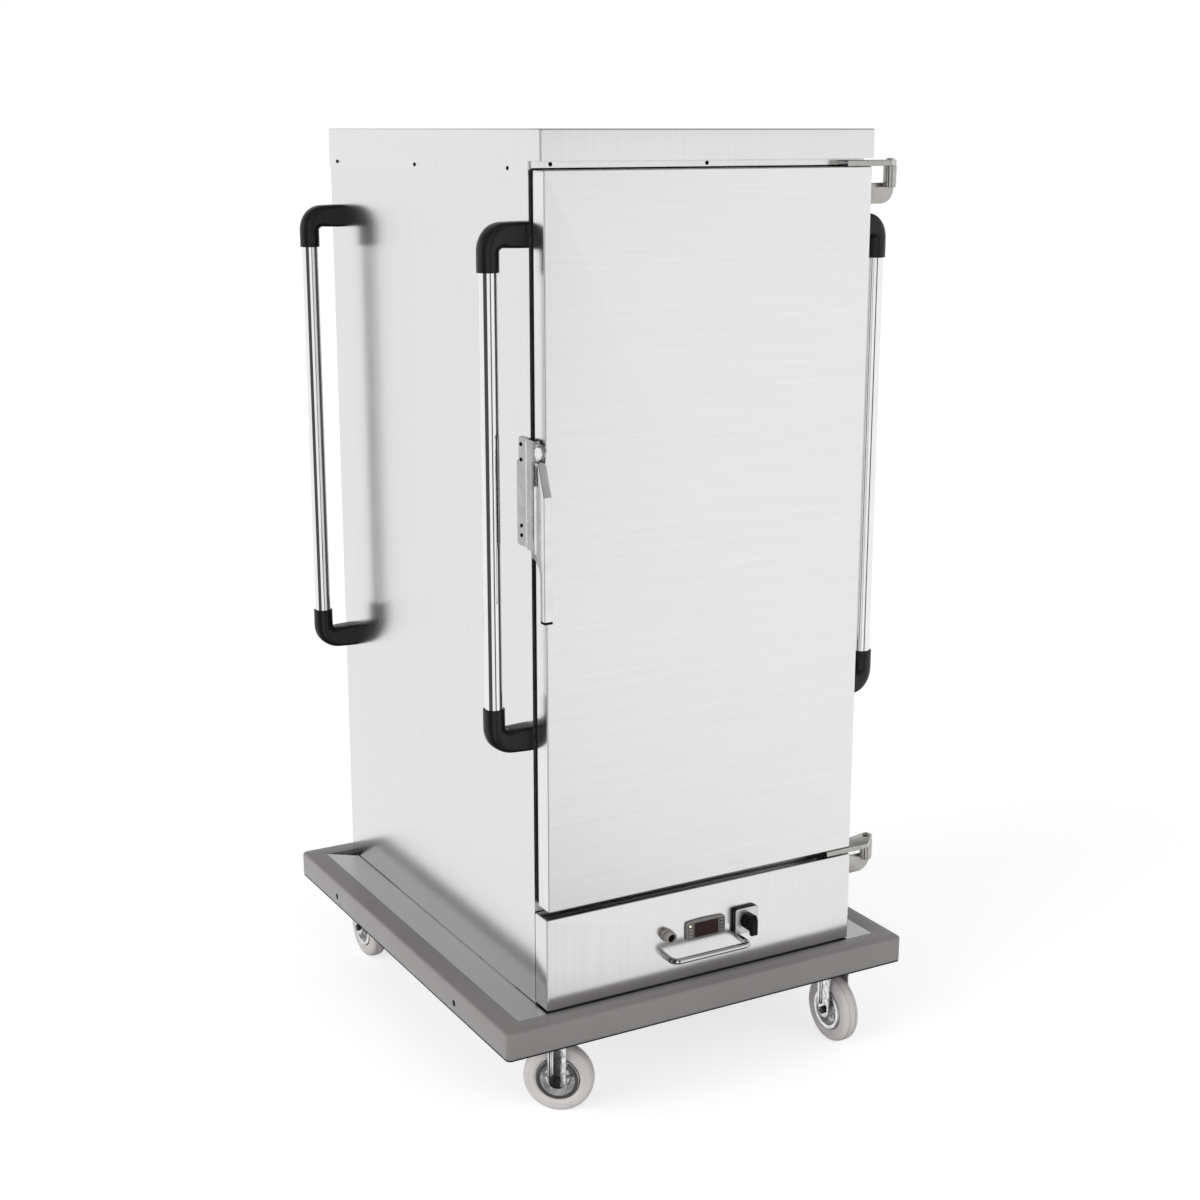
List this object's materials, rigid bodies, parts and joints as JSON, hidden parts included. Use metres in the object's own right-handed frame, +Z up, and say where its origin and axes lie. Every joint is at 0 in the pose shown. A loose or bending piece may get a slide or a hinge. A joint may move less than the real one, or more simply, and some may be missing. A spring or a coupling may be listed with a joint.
{
  "type": "heated banquet cart",
  "caption": "Upright heated cabinet on casters with a bumper ring, side handles, latched door, tray runners inside and a pull-out heating unit below.",
  "frame": {"origin": "on the floor under the middle of the whole cart", "axes": "+Z up, the door faces -Y, +X to the right as seen facing the door"},
  "size_m": [0.817, 0.9484, 1.662],
  "materials": {
    "satin_steel": "satin stainless sheet",
    "deck_steel": "satin stainless sheet, worn",
    "inner_steel": "stainless sheet, brushed",
    "dark_steel": "black paint, satin",
    "bumper_grey": "warm grey, matt",
    "foam": "rigid foam, matt",
    "gasket_black": "matt",
    "tube_chrome": "polished",
    "elbow_black": "matt, fine grain",
    "hinge_nickel": "warm nickel, smooth",
    "latch_bright": "bright plated",
    "screw_zinc": "zinc",
    "caster_zinc": "bright zinc",
    "rim_zinc": "zinc, dull",
    "axle_dark": "dark steel",
    "tyre_grey": "light warm grey, matt",
    "gland_grey": "moulded",
    "bezel_grey": "moulded, satin",
    "button_grey": "moulded, satin",
    "window_dark": "smoked, glossy",
    "switch_black": "moulded, satin",
    "switch_silver": "fine brushed",
    "heater_sheath": "heat tinted",
    "motor_grey": "grey enamel",
    "fan_bright": "mill finish"
  },
  "bodies": {
    "cabinet": {"bumper": "bumper_grey", "chassis": "dark_steel", "side_decks": "deck_steel", "bottom_panel": "deck_steel", "side_panel_left": "satin_steel", "side_panel_right": "satin_steel", "back_panel": "satin_steel", "top_cap": "satin_steel", "header_strip": "satin_steel", "front_frame": "inner_steel", "inner_liner": "inner_steel", "wall_insulation": "foam", "floor_grille": "inner_steel", "tray_racks": "inner_steel", "handle_tubes": "tube_chrome", "handle_elbows": "elbow_black", "hinge_brackets": "hinge_nickel", "hinge_pins": "hinge_nickel", "latch_body": "latch_bright", "latch_bolt": "latch_bright", "body_screws": "screw_zinc", "caster_plates": "caster_zinc", "caster_bolts": "screw_zinc", "rear_forks": "caster_zinc", "rear_axles": "axle_dark"},
    "door": {"door_skin": "satin_steel", "door_liner": "inner_steel", "door_insulation": "foam", "door_gasket": "gasket_black", "latch_strike": "latch_bright", "hinge_arms": "hinge_nickel"},
    "latch_lever": {"latch_lever": "latch_bright"},
    "heating_unit": {"control_panel": "satin_steel", "heater_tray": "inner_steel", "heater": "heater_sheath", "fan_motor": "motor_grey", "bow_handle": "tube_chrome", "cable_gland": "gland_grey", "controller_body": "bezel_grey", "controller_window": "window_dark", "switch_base": "switch_black", "switch_face": "switch_silver"},
    "fan_rotor": {"fan_rotor": "fan_bright"},
    "switch_knob": {"switch_knob": "switch_black"},
    "controller_button_1": {"controller_button_1": "button_grey"},
    "controller_button_2": {"controller_button_2": "button_grey"},
    "controller_button_3": {"controller_button_3": "button_grey"},
    "controller_button_4": {"controller_button_4": "button_grey"},
    "front_swivel_left": {"front_fork_left": "caster_zinc", "front_left_axle": "axle_dark"},
    "front_swivel_right": {"front_fork_right": "caster_zinc", "front_right_axle": "axle_dark"},
    "front_wheel_left": {"front_left_rim": "rim_zinc", "front_left_tyre": "tyre_grey"},
    "front_wheel_right": {"front_right_rim": "rim_zinc", "front_right_tyre": "tyre_grey"},
    "rear_wheel_left": {"rear_left_rim": "rim_zinc", "rear_left_tyre": "tyre_grey"},
    "rear_wheel_right": {"rear_right_rim": "rim_zinc", "rear_right_tyre": "tyre_grey"}
  },
  "joints": [
    {"name": "door_hinge", "type": "hinge", "parent": "cabinet", "child": "door", "pos_m": [0.375, -0.39925, 0.391], "axis": [0, 0, 1], "range_deg": [0, 270]},
    {"name": "latch_pull", "type": "hinge", "parent": "cabinet", "child": "latch_lever", "pos_m": [-0.3165, -0.44025, 1.168], "axis": [-1, 0, 0], "range_deg": [0, 75]},
    {"name": "heating_unit_slide", "type": "slide", "parent": "cabinet", "child": "heating_unit", "axis": [0, -1, 0], "range_m": [0, 0.35]},
    {"name": "fan_spin", "type": "hinge", "parent": "heating_unit", "child": "fan_rotor", "pos_m": [0, 0.10575, 0.3175], "axis": [0, 0, 1], "continuous": true},
    {"name": "switch_turn", "type": "hinge", "parent": "heating_unit", "child": "switch_knob", "pos_m": [0.083, -0.44875, 0.299], "axis": [0, -1, 0], "range_deg": [0, 90]},
    {"name": "button_1_press", "type": "slide", "parent": "heating_unit", "child": "controller_button_1", "axis": [0, 1, 0], "range_m": [0, 0.0008], "stiffness_N_per_m": 500},
    {"name": "button_2_press", "type": "slide", "parent": "heating_unit", "child": "controller_button_2", "axis": [0, 1, 0], "range_m": [0, 0.0008], "stiffness_N_per_m": 500},
    {"name": "button_3_press", "type": "slide", "parent": "heating_unit", "child": "controller_button_3", "axis": [0, 1, 0], "range_m": [0, 0.0008], "stiffness_N_per_m": 500},
    {"name": "button_4_press", "type": "slide", "parent": "heating_unit", "child": "controller_button_4", "axis": [0, 1, 0], "range_m": [0, 0.0008], "stiffness_N_per_m": 500},
    {"name": "front_swivel_left", "type": "hinge", "parent": "cabinet", "child": "front_swivel_left", "pos_m": [-0.306, -0.35725, 0.144], "axis": [0, 0, 1], "continuous": true},
    {"name": "front_wheel_left_roll", "type": "hinge", "parent": "front_swivel_left", "child": "front_wheel_left", "pos_m": [-0.2666, -0.38803, 0.0625], "axis": [0.6157, 0.788, 0], "continuous": true},
    {"name": "front_swivel_right", "type": "hinge", "parent": "cabinet", "child": "front_swivel_right", "pos_m": [0.306, -0.35725, 0.144], "axis": [0, 0, 1], "continuous": true},
    {"name": "front_wheel_right_roll", "type": "hinge", "parent": "front_swivel_right", "child": "front_wheel_right", "pos_m": [0.306, -0.40725, 0.0625], "axis": [1, 0, 0], "continuous": true},
    {"name": "rear_wheel_left_roll", "type": "hinge", "parent": "cabinet", "child": "rear_wheel_left", "pos_m": [-0.306, 0.36975, 0.0625], "axis": [1, 0, 0], "continuous": true},
    {"name": "rear_wheel_right_roll", "type": "hinge", "parent": "cabinet", "child": "rear_wheel_right", "pos_m": [0.306, 0.36975, 0.0625], "axis": [1, 0, 0], "continuous": true}
  ]
}
